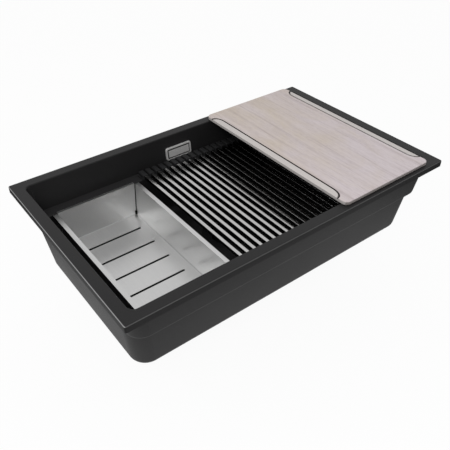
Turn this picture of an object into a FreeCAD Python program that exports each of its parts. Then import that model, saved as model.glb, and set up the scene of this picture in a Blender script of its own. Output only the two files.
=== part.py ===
import FreeCAD, Part
import Sketcher
import math
import os

# Drop-in kitchen sink of moulded composite with a working ledge, a colander, a roll-up rack,
# a cutting board that rests on the rim, an overflow and a basket strainer waste.
# Frame: X along the sink, Y to the back wall, Z up; origin in the middle of the flange's underside.

doc = FreeCAD.newDocument("kitchen_sink")
sheet = doc.addObject("Spreadsheet::Sheet", "Sizes")

DRIVING_SIZES = [
    # Flange and opening
    ("rim_length", 840.0), ("rim_width", 510.0), ("rim_land", 26.0), ("flange_thick", 15.0),
    ("rim_corner", 4.0), ("rim_round", 2.5), ("opening_corner", 14.0), ("opening_round", 3.0),
    # Bowl: drafted walls with a ledge inside and a smaller step outside
    ("wall_thick", 10.0), ("draft_share", 0.12), ("outer_corner", 34.0),
    ("ledge_depth", 69.0), ("ledge_width", 30.0), ("ledge_thick", 20.0), ("ledge_nose", 2.0),
    ("bowl_depth", 200.0), ("bowl_draft_share", 0.03), ("bowl_corner", 24.0),
    ("floor_thick", 10.0), ("floor_cove", 20.0),
    ("step_inset", 12.0), ("step_round", 7.0), ("step_fall", 1.0), ("step_corner", 38.0),
    ("base_round", 18.0),
    # Overflow on the inside of the back wall
    ("overflow_depth", 46.5), ("overflow_length", 75.0), ("overflow_height", 33.0), ("overflow_corner", 6.0),
    ("overflow_rim", 5.0), ("overflow_thick", 4.0), ("overflow_sheet", 1.2), ("overflow_gap", 1.4),
    ("overflow_seal", 0.8), ("sleeve_inset", 7.0), ("sleeve_depth", 6.5), ("sleeve_clearance", 1.2),
    ("stem_radius", 2.5), ("stem_spacing", 34.0), ("bar_width", 7.0),
    # Overflow channel in its boss, and the outlet under it
    ("boss_length", 108.0), ("boss_width", 36.0), ("boss_inset", 5.0), ("boss_depth", 78.0),
    ("channel_length", 72.0), ("channel_width", 14.0), ("channel_wall", 6.0), ("channel_top", 12.0),
    ("outlet_inset", 16.0), ("outlet_plate", 4.0), ("outlet_seal", 2.0), ("outlet_plate_width", 32.0),
    ("funnel_depth", 20.0), ("funnel_flat", 0.4),
    ("screw_radius", 2.0), ("screw_length", 16.0), ("screw_head", 4.0), ("screw_cap", 2.6),
    # Overflow pipe with its slip nuts
    ("thread_radius", 16.0), ("thread_length", 22.0), ("socket_depth", 14.0), ("throat_radius", 10.5),
    ("pipe_radius", 12.5), ("pipe_wall", 2.0), ("pipe_bend", 36.0), ("fit_clearance", 0.3),
    ("ring_seal", 3.0),
    ("nut_radius", 20.0), ("nut_length", 16.0), ("nut_lip", 3.0), ("nut_groove", 2.0), ("nut_grooves", 12),
    # Waste: dish in the floor, cup under it, screw between them
    ("waste_back", 25.0), ("waste_hole", 45.0), ("waste_seat", 58.0), ("seat_depth", 4.5),
    ("dish_flange", 56.5), ("dish_cup", 42.0), ("dish_depth", 36.0), ("dish_sheet", 1.2), ("dish_round", 5.0),
    ("dish_holes", 8), ("dish_hole", 4.0), ("dish_hole_ring", 22.0),
    ("waste_seal", 2.0), ("lower_seal", 3.0), ("seal_bore", 46.0),
    ("cup_flange", 54.0), ("cup_flange_thick", 5.0), ("cup_bore", 46.5), ("cup_wall", 3.5),
    ("cup_depth", 60.0), ("cone_depth", 13.0), ("tail_radius", 23.9),
    ("tail_bore", 20.4), ("tail_length", 26.0),
    ("hub_radius", 7.0), ("hub_depth", 30.0), ("hub_length", 18.0), ("spoke_thick", 4.0),
    ("spoke_height", 12.0), ("inlet_depth", 40.0), ("inlet_reach", 74.0),
    ("clamp_radius", 3.0), ("clamp_length", 26.0), ("clamp_head", 8.0), ("clamp_cap", 2.4),
    # Strainer basket
    ("plug_radius", 32.0), ("plug_bore", 10.0), ("plug_thick", 3.5),
    ("basket_radius", 36.0), ("basket_lip", 39.5), ("basket_height", 27.0), ("basket_sheet", 1.0),
    ("basket_hole", 2.2), ("basket_holes", 10), ("basket_hole_ring", 25.0),
    ("knob_foot", 7.0), ("knob_stem", 3.5), ("knob_radius", 10.0), ("knob_height", 38.0), ("knob_thick", 7.0),
    # Colander on the ledge
    ("colander_width", 200.0), ("colander_depth", 81.0), ("colander_sheet", 1.2), ("colander_bend", 2.0),
    ("colander_side_gap", 27.0), ("colander_end_gap", 2.4), ("side_lip", 9.75), ("end_lip", 7.0),
    ("corner_slit", 1.6), ("relief_height", 11.0), ("relief_radius", 3.5),
    ("drain_slots", 5), ("drain_slot_width", 5.5), ("drain_slot_inset", 30.0), ("drain_slot_margin", 64.0),
    # Roll-up rack on the ledge
    ("tube_width", 8.2), ("tube_corner", 0.8), ("tube_wall", 0.6), ("tube_count", 17), ("tube_pitch", 18.1),
    ("tube_height", 6.0), ("tube_grip", 18.0), ("rack_gap", 12.8),
    ("strip_width", 25.0), ("strip_gap", 7.7), ("strip_band", 3.5), ("strip_end", 3.0),
    ("block_width", 13.0), ("block_height", 11.5), ("block_round", 2.5),
    # Cutting board on the rim
    ("board_width", 273.0), ("board_thick", 9.0), ("board_inset", 10.0), ("board_side_inset", 40.0),
    ("board_corner", 13.0), ("board_round", 2.0),
    ("grip_width", 15.0), ("grip_margin", 27.0), ("grip_oval", 26.0), ("grip_fall_share", 0.09),
    ("groove_width", 3.2), ("groove_depth", 1.8),
]
for row, (alias, value) in enumerate(DRIVING_SIZES, 1):
    sheet.set("A%d" % row, alias)
    sheet.set("B%d" % row, str(value))
    sheet.setAlias("B%d" % row, alias)
doc.recompute()


class Size:
    """A size worked out from the sheet: its expression for binding, and its value now."""

    def __init__(self, text, value):
        self.text = text
        self.value = value

    def joined(self, sign, other, value):
        return Size("(%s %s %s)" % (self.text, sign, as_size(other).text), value)

    def __add__(self, other):
        return self.joined("+", other, self.value + as_size(other).value)

    def __sub__(self, other):
        return self.joined("-", other, self.value - as_size(other).value)

    def __mul__(self, other):
        return self.joined("*", other, self.value * as_size(other).value)

    def __truediv__(self, other):
        return self.joined("/", other, self.value / as_size(other).value)

    def __neg__(self):
        return Size("(0 - %s)" % self.text, -self.value)


def as_size(thing):
    return thing if isinstance(thing, Size) else Size(repr(float(thing)), float(thing))


class Sizes:
    """Each driving size of the sheet by its name."""

    def __getattr__(self, alias):
        return Size("Sizes." + alias, float(sheet.get(alias)))


size = Sizes()
ZERO = as_size(0)
TOUCH = 0.01
ARC_STEPS = 4
slot_end_share = 0.45
small_corner_share = 0.25
basket_row_shares = (0.35, 0.65)


def count_of(alias):
    return int(round(float(sheet.get(alias))))


def bind(thing, name, length):
    thing.setExpression(name, as_size(length).text)


def bind_place(thing, x=ZERO, y=ZERO, z=ZERO, prefix="Placement"):
    for axis, length in (("x", x), ("y", y), ("z", z)):
        bind(thing, "%s.Base.%s" % (prefix, axis), length)


def new_body(label):
    body = doc.addObject("PartDesign::Body", label)
    body.Label = label
    return body


def new_sketch(body, name, role="XY_Plane", x=ZERO, y=ZERO, z=ZERO):
    """A sketch on one of the body's own planes, moved by x and y in that plane and z off it."""
    sketch = body.newObject("Sketcher::SketchObject", name)
    plane = [item for item in body.Origin.OriginFeatures if item.Role == role][0]
    sketch.AttachmentSupport = [(plane, "")]
    sketch.MapMode = "FlatFace"
    bind_place(sketch, x, y, z, "AttachmentOffset")
    return sketch


def hold(sketch, kind, *where):
    """A dimension of a sketch, bound to the size that ends the call."""
    length = as_size(where[-1])
    number = sketch.addConstraint(Sketcher.Constraint(kind, *where[:-1], length.value))
    bind(sketch, "Constraints[%d]" % number, length)


def draw_rounded(sketch, length, width, radius):
    """A rectangle with round corners, centred on the sketch's origin."""
    half_x = as_size(length).value / 2
    half_y = as_size(width).value / 2
    r = as_size(radius).value
    start = sketch.GeometryCount
    corners = [(half_x - r, half_y - r), (r - half_x, half_y - r)]
    corners += [(r - half_x, r - half_y), (half_x - r, r - half_y)]
    for index, (cx, cy) in enumerate(corners):
        circle = Part.Circle(FreeCAD.Vector(cx, cy, 0), FreeCAD.Vector(0, 0, 1), r)
        sketch.addGeometry(Part.ArcOfCircle(circle, index * math.pi / 2, (index + 1) * math.pi / 2))
    for index in range(4):
        first = sketch.getPoint(start + index, 2)
        second = sketch.getPoint(start + (index + 1) % 4, 1)
        sketch.addGeometry(Part.LineSegment(first, second))
    for index in range(4):
        line = start + 4 + index
        sketch.addConstraint(Sketcher.Constraint("Tangent", start + index, 2, line, 1))
        sketch.addConstraint(Sketcher.Constraint("Tangent", line, 2, start + (index + 1) % 4, 1))
    for index in range(4):
        kind = "Vertical" if index % 2 else "Horizontal"
        sketch.addConstraint(Sketcher.Constraint(kind, start + 4 + index))
    for index in range(1, 4):
        sketch.addConstraint(Sketcher.Constraint("Equal", start, start + index))
    sketch.addConstraint(Sketcher.Constraint("Symmetric", start, 3, start + 2, 3, -1, 1))
    hold(sketch, "Radius", start, radius)
    hold(sketch, "DistanceX", start + 1, 3, start, 3, as_size(length) - as_size(radius) * 2)
    hold(sketch, "DistanceY", start + 3, 3, start, 3, as_size(width) - as_size(radius) * 2)
    return sketch


def draw_circle(sketch, radius, x=ZERO, y=ZERO):
    where = FreeCAD.Vector(as_size(x).value, as_size(y).value, 0)
    number = sketch.addGeometry(Part.Circle(where, FreeCAD.Vector(0, 0, 1), as_size(radius).value))
    hold(sketch, "Radius", number, radius)
    hold(sketch, "DistanceX", -1, 1, number, 3, x)
    hold(sketch, "DistanceY", -1, 1, number, 3, y)
    return sketch


def draw_outline(sketch, points):
    """A closed outline of straight stretches through points that are each placed by two sizes."""
    places = [FreeCAD.Vector(as_size(x).value, as_size(y).value, 0) for x, y in points]
    total = len(places)
    start = sketch.GeometryCount
    for index in range(total):
        sketch.addGeometry(Part.LineSegment(places[index], places[(index + 1) % total]))
    for index in range(total):
        following = start + (index + 1) % total
        sketch.addConstraint(Sketcher.Constraint("Coincident", start + index, 2, following, 1))
    for index, (x, y) in enumerate(points):
        hold(sketch, "DistanceX", -1, 1, start + index, 1, x)
        hold(sketch, "DistanceY", -1, 1, start + index, 1, y)
    return sketch


def pad(body, sketch, length, backward=False, both_ways=False):
    feature = body.newObject("PartDesign::Pad", sketch.Name + "_pad")
    feature.Profile = sketch
    bind(feature, "Length", length)
    feature.Reversed = backward
    feature.Midplane = both_ways
    body.Tip = feature
    return feature


def pocket(body, sketch, length, backward=False, both_ways=False):
    """Cuts along the sketch's reversed normal, or along the normal when backward."""
    feature = body.newObject("PartDesign::Pocket", sketch.Name + "_cut")
    feature.Profile = sketch
    bind(feature, "Length", length)
    feature.Reversed = backward
    feature.Midplane = both_ways
    body.Tip = feature
    return feature


def loft(body, sketches, cut=False):
    kind = "PartDesign::SubtractiveLoft" if cut else "PartDesign::AdditiveLoft"
    feature = body.newObject(kind, sketches[0].Name + "_loft")
    feature.Profile = sketches[0]
    feature.Sections = sketches[1:]
    feature.Ruled = True
    body.Tip = feature
    return feature


def revolve(body, sketch, cut=False):
    kind = "PartDesign::Groove" if cut else "PartDesign::Revolution"
    feature = body.newObject(kind, sketch.Name + "_turned")
    feature.Profile = sketch
    feature.ReferenceAxis = (sketch, ["V_Axis"])
    feature.Angle = 360.0
    body.Tip = feature
    return feature


def ring_pattern(body, originals, count):
    """Copies features round the body's Z axis."""
    feature = body.newObject("PartDesign::PolarPattern", originals[0].Name + "_ring")
    feature.Originals = originals
    axis = [item for item in body.Origin.OriginFeatures if item.Role == "Z_Axis"][0]
    feature.Axis = (axis, [""])
    feature.Angle = 360.0
    bind(feature, "Occurrences", count)
    body.Tip = feature
    return feature


def row_pattern(body, originals, role, span, count):
    """Copies features along one of the body's axes."""
    feature = body.newObject("PartDesign::LinearPattern", originals[0].Name + "_row")
    feature.Originals = originals
    axis = [item for item in body.Origin.OriginFeatures if item.Role == role][0]
    feature.Direction = (axis, [""])
    bind(feature, "Length", span)
    bind(feature, "Occurrences", count)
    body.Tip = feature
    return feature


def round_edges(body, name, radius, wanted):
    """Rounds the edges of the body that the function wanted picks."""
    doc.recompute()
    base = body.Tip
    names = ["Edge%d" % number for number, edge in enumerate(base.Shape.Edges, 1) if wanted(edge)]
    feature = body.newObject("PartDesign::Fillet", name)
    feature.Base = (base, names)
    bind(feature, "Radius", radius)
    body.Tip = feature
    return feature


def level_at(edge, height):
    box = edge.BoundBox
    return abs(box.ZMin - height.value) < TOUCH and abs(box.ZMax - height.value) < TOUCH


def edges_at(*heights):
    """Picks the edges that lie flat at one of the heights."""
    def wanted(edge):
        return any(level_at(edge, height) for height in heights)
    return wanted


def wide_edges_at(height, width):
    """Picks the flat edges at a height that are wider than a width."""
    def wanted(edge):
        return level_at(edge, height) and edge.BoundBox.XLength > width.value
    return wanted


def rim_edges(outside):
    """Picks the edges of the rim's top that run outside the opening, or else those round it."""
    def wanted(edge):
        box = edge.BoundBox
        past_x = max(abs(box.XMin), abs(box.XMax)) > opening_length.value / 2 + TOUCH
        past_y = max(abs(box.YMin), abs(box.YMax)) > opening_width.value / 2 + TOUCH
        return level_at(edge, rim_top) and (past_x or past_y) == outside
    return wanted


def quarter_turns():
    """Angles in even steps from zero to a quarter turn."""
    return [math.pi / 2 * index / ARC_STEPS for index in range(ARC_STEPS + 1)]


# Levels and widths of the bowl, all measured from the flange's underside
opening_length = size.rim_length - size.rim_land * 2
opening_width = size.rim_width - size.rim_land * 2
rim_top = size.flange_thick
ledge_top = rim_top - size.ledge_depth
floor_top = rim_top - size.bowl_depth + size.floor_thick
base_level = rim_top - size.bowl_depth


def inner_half_x(depth):
    """Half the bowl's inside length at a depth below the rim's top."""
    return opening_length / 2 - depth * size.draft_share


def inner_half_y(depth):
    """Half the inside width above the ledge at a depth below the rim's top."""
    return opening_width / 2 - depth * size.draft_share


# Places that several pieces share
ledge_nose_y = inner_half_y(size.ledge_depth) - size.ledge_width
boss_back = size.rim_width / 2 - size.boss_inset
channel_back = boss_back - size.channel_wall
outlet_back = boss_back - size.outlet_inset
funnel_level = -size.boss_depth - size.outlet_seal
socket_end = funnel_level - size.outlet_plate - size.funnel_depth - size.thread_length
socket_radius = size.pipe_radius + size.fit_clearance
seat_level = floor_top - size.seat_depth
dish_level = seat_level + size.waste_seal
dish_floor = dish_level - size.dish_depth + size.dish_sheet
cup_level = base_level - size.lower_seal
inlet_level = cup_level - size.inlet_depth
inlet_end = size.waste_back + size.inlet_reach
colander_half_x = size.colander_width / 2
colander_half_y = ledge_nose_y - size.colander_end_gap
colander_x = colander_half_x + size.side_lip + size.colander_side_gap - inner_half_x(size.ledge_depth)
rack_start = colander_x + colander_half_x + size.side_lip + size.rack_gap
tube_first = rack_start + size.strip_end + size.block_width / 2
tube_span = size.tube_pitch * (size.tube_count - 1)
strip_back = inner_half_y(size.ledge_depth) - size.strip_gap


def bowl_half_y(depth):
    """Half the inside width of the lower bowl, from the ledge's nose down."""
    return ledge_nose_y - (depth - size.ledge_depth) * size.bowl_draft_share


def wall_section(body, name, depth, half_x, half_y, corner):
    """One rounded section of the bowl at a depth below the rim's top."""
    return draw_rounded(new_sketch(body, name, z=rim_top - depth), half_x * 2, half_y * 2, corner)


def outer_sections(body):
    """The outside of the bowl: drafted wall, a small rounded step under the ledge, drafted lower wall."""
    step_depth = size.ledge_depth + size.ledge_thick
    stages = [(size.flange_thick, ZERO, size.outer_corner)]
    for turn in quarter_turns():
        depth = step_depth - size.step_round * (1 - math.sin(turn))
        stages.append((depth, size.step_round * (1 - math.cos(turn)), size.outer_corner))
    stages.append((step_depth + size.step_fall, size.step_inset, size.step_corner))
    stages.append((size.bowl_depth, size.step_inset, size.step_corner))
    sections = []
    for number, (depth, inset, corner) in enumerate(stages):
        half_x = inner_half_x(depth) + size.wall_thick
        half_y = inner_half_y(depth) + size.wall_thick - inset
        name = "outside_%d" % number
        sections.append(wall_section(body, name, depth, half_x, half_y, corner))
    return sections


def upper_bowl_sections(body):
    """The inside of the bowl from the rim down to the ledge."""
    sections = []
    for number, depth in enumerate((ZERO, size.ledge_depth)):
        half_x = inner_half_x(depth)
        half_y = inner_half_y(depth)
        name = "upper_bowl_%d" % number
        sections.append(wall_section(body, name, depth, half_x, half_y, size.opening_corner))
    return sections


def lower_bowl_sections(body):
    """The inside of the lower bowl, with a rounded nose where the ledge ends."""
    stages = []
    for turn in quarter_turns():
        depth = size.ledge_depth + size.ledge_nose * (1 - math.cos(turn))
        stages.append((depth, size.ledge_nose * (1 - math.sin(turn))))
    stages.append((size.bowl_depth - size.floor_thick, ZERO))
    sections = []
    for number, (depth, outset) in enumerate(stages):
        half_x = inner_half_x(depth)
        half_y = bowl_half_y(depth) + outset
        name = "lower_bowl_%d" % number
        sections.append(wall_section(body, name, depth, half_x, half_y, size.bowl_corner))
    return sections


def make_basin():
    """The moulded sink: flange, stepped bowl, ledge, overflow boss with its channel, waste seat."""
    body = new_body("basin")
    flange = draw_rounded(new_sketch(body, "flange"), size.rim_length, size.rim_width, size.rim_corner)
    pad(body, flange, size.flange_thick)
    loft(body, outer_sections(body))
    boss = new_sketch(body, "overflow_boss", y=boss_back - size.boss_width / 2)
    draw_rounded(boss, size.boss_length, size.boss_width, size.rim_corner)
    pad(body, boss, size.boss_depth, backward=True)
    round_edges(body, "base_edge", size.base_round, edges_at(base_level))
    loft(body, upper_bowl_sections(body), cut=True)
    loft(body, lower_bowl_sections(body), cut=True)
    round_edges(body, "floor_edge", size.floor_cove, edges_at(floor_top))
    seat = draw_circle(new_sketch(body, "waste_seat_ring", y=size.waste_back, z=floor_top), size.waste_seat)
    pocket(body, seat, size.seat_depth)
    hole = draw_circle(new_sketch(body, "waste_hole_ring", y=size.waste_back, z=floor_top), size.waste_hole)
    pocket(body, hole, size.floor_thick * 2)
    channel_y = channel_back - size.channel_width / 2
    channel = draw_channel(new_sketch(body, "overflow_channel", y=channel_y, z=-size.boss_depth), ZERO)
    pocket(body, channel, size.boss_depth - size.channel_top, backward=True)
    mouth = new_sketch(body, "overflow_mouth", "XZ_Plane", y=rim_top - size.overflow_depth, z=-channel_back)
    draw_overflow_ring(mouth, size.sleeve_inset, size.overflow_corner / 2)
    pocket(body, mouth, size.channel_width + size.wall_thick * 2, backward=True)
    for side in (-1, 1):
        pilot = new_sketch(body, "outlet_pilot_%d" % (side + 1), y=outlet_back, z=-size.boss_depth)
        draw_circle(pilot, size.screw_radius + size.fit_clearance, x=outlet_screw_x() * side)
        pocket(body, pilot, size.screw_length, backward=True)
    round_edges(body, "opening_edge", size.opening_round, rim_edges(outside=False))
    round_edges(body, "rim_edge", size.rim_round, rim_edges(outside=True))


def outlet_screw_x():
    """How far to each side the outlet's screws sit, midway between the channel and the boss's end."""
    return (size.boss_length / 2 + size.channel_length / 2) / 2


def draw_channel(sketch, grow):
    """The overflow channel's flat mouth, grown by a wall."""
    corner = size.channel_width * small_corner_share + grow / 2
    return draw_rounded(sketch, size.channel_length + grow, size.channel_width + grow, corner)


def on_back_wall(body):
    """Lays a body on the inside of the drafted back wall: its Z out of the wall, its Y up the wall."""
    lean = math.degrees(math.atan(size.draft_share.value))
    turn = FreeCAD.Rotation(FreeCAD.Vector(1, 0, 0), 90 - lean)
    body.Placement = FreeCAD.Placement(FreeCAD.Vector(0, 0, 0), turn)
    body.setExpression("Placement.Rotation.Angle", "90 deg - atan(Sizes.draft_share)")
    bind_place(body, y=inner_half_y(size.overflow_depth), z=rim_top - size.overflow_depth)


def draw_overflow_ring(sketch, inset, corner):
    return draw_rounded(sketch, size.overflow_length - inset * 2, size.overflow_height - inset * 2, corner)


def make_overflow_gasket():
    """The thin seal between the overflow's frame and the wall."""
    body = new_body("overflow_gasket")
    ring = draw_overflow_ring(new_sketch(body, "wall_seal"), size.overflow_seal, size.overflow_corner)
    draw_overflow_ring(ring, size.sleeve_inset, size.overflow_corner / 2)
    pad(body, ring, size.overflow_seal)
    on_back_wall(body)


def make_overflow_frame():
    """The pressed frame: a bezel with a recess, a sleeve into the wall and two bars that carry the cover."""
    body = new_body("overflow_frame")
    front = size.overflow_seal + size.overflow_thick
    sleeve_inset = size.sleeve_inset + size.sleeve_clearance
    bezel = draw_overflow_ring(new_sketch(body, "bezel", z=size.overflow_seal), ZERO, size.overflow_corner)
    pad(body, bezel, size.overflow_thick)
    sleeve = new_sketch(body, "sleeve", z=size.overflow_seal)
    draw_overflow_ring(sleeve, sleeve_inset, size.overflow_corner / 2)
    pad(body, sleeve, size.overflow_seal + size.sleeve_depth, backward=True)
    recess = new_sketch(body, "recess", z=front)
    draw_overflow_ring(recess, size.overflow_rim, size.overflow_corner / 2)
    pocket(body, recess, size.overflow_thick - size.overflow_sheet)
    bore = new_sketch(body, "sleeve_bore", z=front)
    draw_overflow_ring(bore, sleeve_inset + size.overflow_sheet, size.overflow_corner * small_corner_share)
    pocket(body, bore, size.overflow_thick + size.sleeve_depth * 2)
    bar_height = size.overflow_height - sleeve_inset * 2 - size.overflow_sheet
    for side in (-1, 1):
        bar = new_sketch(body, "bar_%d" % (side + 1), x=size.stem_spacing / 2 * side, z=-size.sleeve_depth)
        pad(body, draw_rounded(bar, size.bar_width, bar_height, size.overflow_sheet / 2), size.overflow_sheet)
    round_edges(body, "bezel_edge", size.overflow_sheet, edges_at(front))
    on_back_wall(body)


def make_overflow_cover():
    """The plate in the frame's recess, on two stems, with the water's gap all round it."""
    body = new_body("overflow_cover")
    front = size.overflow_seal + size.overflow_thick
    back = front - size.overflow_sheet
    plate = new_sketch(body, "cover_plate", z=back)
    inset = size.overflow_rim + size.overflow_gap
    draw_overflow_ring(plate, inset, size.overflow_corner * small_corner_share)
    pad(body, plate, size.overflow_sheet)
    stems = new_sketch(body, "cover_stems", z=back)
    for side in (-1, 1):
        draw_circle(stems, size.stem_radius, x=size.stem_spacing / 2 * side)
    pad(body, stems, back + size.sleeve_depth - size.overflow_sheet, backward=True)
    on_back_wall(body)


def draw_outlet_plate(sketch):
    return draw_rounded(sketch, size.boss_length - size.rim_corner, size.outlet_plate_width, size.rim_corner)


def draw_outlet_holes(sketch):
    for side in (-1, 1):
        draw_circle(sketch, size.screw_radius + size.fit_clearance, x=outlet_screw_x() * side)
    return sketch


def channel_offset():
    """How far the channel's middle lies behind the outlet's axis."""
    return channel_back - size.channel_width / 2 - outlet_back


def make_outlet_gasket():
    """The flat seal between the overflow boss and the outlet's plate."""
    body = new_body("overflow_outlet_gasket")
    pad(body, draw_outlet_plate(new_sketch(body, "outlet_seal_plate")), size.outlet_seal)
    mouth = new_sketch(body, "outlet_seal_mouth", y=channel_offset(), z=size.outlet_seal)
    pocket(body, draw_channel(mouth, ZERO), size.outlet_seal)
    holes = draw_outlet_holes(new_sketch(body, "outlet_seal_holes", z=size.outlet_seal))
    pocket(body, holes, size.outlet_seal)
    bind_place(body, y=outlet_back, z=funnel_level)


def funnel_sections(body, name, grow, top):
    """A flat mouth that narrows to a round throat, grown by a wall."""
    radius = size.throat_radius + grow
    across = radius * 2 + size.funnel_flat
    mouth = draw_channel(new_sketch(body, name + "_mouth", y=channel_offset(), z=top), grow)
    throat = new_sketch(body, name + "_throat", z=-size.outlet_plate - size.funnel_depth)
    return [mouth, draw_rounded(throat, across, across, radius)]


def make_outlet():
    """The funnel under the overflow boss, with a threaded socket for the pipe."""
    body = new_body("overflow_outlet")
    thread_top = -size.outlet_plate - size.funnel_depth
    thread_end = thread_top - size.thread_length
    pad(body, draw_outlet_plate(new_sketch(body, "outlet_flange")), size.outlet_plate, backward=True)
    loft(body, funnel_sections(body, "funnel", size.thread_radius - size.throat_radius, -size.outlet_plate))
    thread = draw_circle(new_sketch(body, "outlet_thread", z=thread_top), size.thread_radius)
    pad(body, thread, size.thread_length, backward=True)
    loft(body, funnel_sections(body, "funnel_inside", ZERO, ZERO), cut=True)
    throat = draw_circle(new_sketch(body, "outlet_throat", z=thread_top), size.throat_radius)
    pocket(body, throat, size.thread_length)
    socket = draw_circle(new_sketch(body, "outlet_socket", z=thread_end), socket_radius)
    pocket(body, socket, size.socket_depth, backward=True)
    pocket(body, draw_outlet_holes(new_sketch(body, "outlet_holes")), size.outlet_plate)
    bind_place(body, y=outlet_back, z=funnel_level)


def joined_node(label, bodies):
    """One node for identical small pieces."""
    group = doc.addObject("Part::Compound", label)
    group.Label = label
    group.Links = bodies
    return group


def make_outlet_screws():
    """The two screws that hold the outlet up against the boss."""
    bodies = []
    for side in (-1, 1):
        body = new_body("outlet_screw_%d" % (side + 1))
        shank = draw_circle(new_sketch(body, "screw_shank_%d" % (side + 1)), size.screw_radius)
        pad(body, shank, size.screw_length)
        head = draw_circle(new_sketch(body, "screw_head_%d" % (side + 1)), size.screw_head)
        pad(body, head, size.screw_cap, backward=True)
        bind_place(body, outlet_screw_x() * side, outlet_back, funnel_level - size.outlet_plate)
        bodies.append(body)
    joined_node("overflow_outlet_screws", bodies)


def make_pipe():
    """The rigid pipe from the overflow's outlet down behind the bowl and forward to the waste."""
    body = new_body("overflow_pipe")
    top = socket_end + size.socket_depth
    end = inlet_end - size.socket_depth
    path = new_sketch(body, "pipe_path", "YZ_Plane")
    bend_level = inlet_level + size.pipe_bend
    centre = FreeCAD.Vector((outlet_back - size.pipe_bend).value, bend_level.value, 0)
    circle = Part.Circle(centre, FreeCAD.Vector(0, 0, 1), size.pipe_bend.value)
    bend = Part.ArcOfCircle(circle, -math.pi / 2, 0)
    drop = Part.LineSegment(FreeCAD.Vector(outlet_back.value, top.value, 0), bend.EndPoint)
    run = Part.LineSegment(bend.StartPoint, FreeCAD.Vector(end.value, inlet_level.value, 0))
    for curve in (drop, bend, run):
        path.addGeometry(curve)
    path.addConstraint(Sketcher.Constraint("Tangent", 0, 2, 1, 2))
    path.addConstraint(Sketcher.Constraint("Tangent", 1, 1, 2, 1))
    path.addConstraint(Sketcher.Constraint("Vertical", 0))
    path.addConstraint(Sketcher.Constraint("Horizontal", 2))
    hold(path, "DistanceX", -1, 1, 0, 1, outlet_back)
    hold(path, "DistanceY", -1, 1, 0, 1, top)
    hold(path, "DistanceX", -1, 1, 2, 2, end)
    hold(path, "DistanceY", -1, 1, 2, 2, inlet_level)
    hold(path, "Radius", 1, size.pipe_bend)
    ring = new_sketch(body, "pipe_ring", y=outlet_back, z=top)
    draw_circle(ring, size.pipe_radius)
    draw_circle(ring, size.pipe_radius - size.pipe_wall)
    doc.recompute()
    sweep = body.newObject("PartDesign::AdditivePipe", "pipe_sweep")
    sweep.Profile = ring
    sweep.Spine = (path, ["Edge1", "Edge2", "Edge3"])
    body.Tip = sweep


def on_pipe_end(body, end, reach):
    """Puts a ring on the pipe's upper end, or turned over on its lower end, a reach past the socket."""
    if end == 0:
        bind_place(body, y=outlet_back, z=socket_end - reach)
        return
    turn = FreeCAD.Rotation(FreeCAD.Vector(1, 0, 0), 90)
    body.Placement = FreeCAD.Placement(FreeCAD.Vector(0, 0, 0), turn)
    bind_place(body, y=inlet_end + reach, z=inlet_level)


def make_pipe_seals():
    """The rubber rings that the nuts press round the pipe."""
    bodies = []
    for end in range(2):
        body = new_body("pipe_seal_%d" % end)
        ring = draw_circle(new_sketch(body, "pipe_seal_ring_%d" % end), size.thread_radius)
        pad(body, draw_circle(ring, socket_radius), size.ring_seal)
        on_pipe_end(body, end, size.ring_seal)
        bodies.append(body)
    joined_node("overflow_pipe_seals", bodies)


def make_pipe_nuts():
    """The fluted slip nuts on the two threaded sockets."""
    bodies = []
    for end in range(2):
        body = new_body("pipe_nut_%d" % end)
        lip_bore = socket_radius + size.fit_clearance
        thread_bore = size.thread_radius + size.fit_clearance
        profile = new_sketch(body, "nut_profile_%d" % end, "XZ_Plane")
        draw_outline(profile, [
            (lip_bore, ZERO), (size.nut_radius, ZERO), (size.nut_radius, size.nut_length),
            (thread_bore, size.nut_length), (thread_bore, size.nut_lip), (lip_bore, size.nut_lip)])
        revolve(body, profile)
        groove = new_sketch(body, "nut_groove_%d" % end)
        draw_circle(groove, size.nut_groove, x=size.nut_radius + size.nut_groove / 2)
        cut = pocket(body, groove, size.nut_length, backward=True)
        ring_pattern(body, [cut], size.nut_grooves)
        on_pipe_end(body, end, size.ring_seal + size.nut_lip)
        bodies.append(body)
    joined_node("overflow_pipe_nuts", bodies)


def make_ring(label, level, outer, bore, thick):
    """A flat ring round the waste's axis."""
    body = new_body(label)
    ring = draw_circle(new_sketch(body, label + "_ring"), outer)
    pad(body, draw_circle(ring, bore), thick)
    bind_place(body, y=size.waste_back, z=level)


def make_dish():
    """The pressed steel dish that shows in the sink's floor, its bottom pierced round the screw."""
    body = new_body("waste_dish")
    inside = size.dish_cup - size.dish_sheet
    floor = -size.dish_depth + size.dish_sheet
    bore = size.clamp_radius + size.fit_clearance
    profile = draw_outline(new_sketch(body, "dish_profile", "XZ_Plane"), [
        (size.dish_flange, ZERO), (size.dish_flange, size.dish_sheet), (inside, size.dish_sheet),
        (inside, floor), (bore, floor), (bore, -size.dish_depth),
        (size.dish_cup, -size.dish_depth), (size.dish_cup, ZERO)])
    revolve(body, profile)
    hole = draw_circle(new_sketch(body, "dish_hole_one", z=floor), size.dish_hole, x=size.dish_hole_ring)
    ring_pattern(body, [pocket(body, hole, size.dish_sheet)], size.dish_holes)
    round_edges(body, "dish_base", size.dish_round, wide_edges_at(-size.dish_depth, inside))
    round_edges(body, "dish_inside", size.dish_round - size.dish_sheet, wide_edges_at(floor, inside))
    bind_place(body, y=size.waste_back, z=dish_level)


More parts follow.
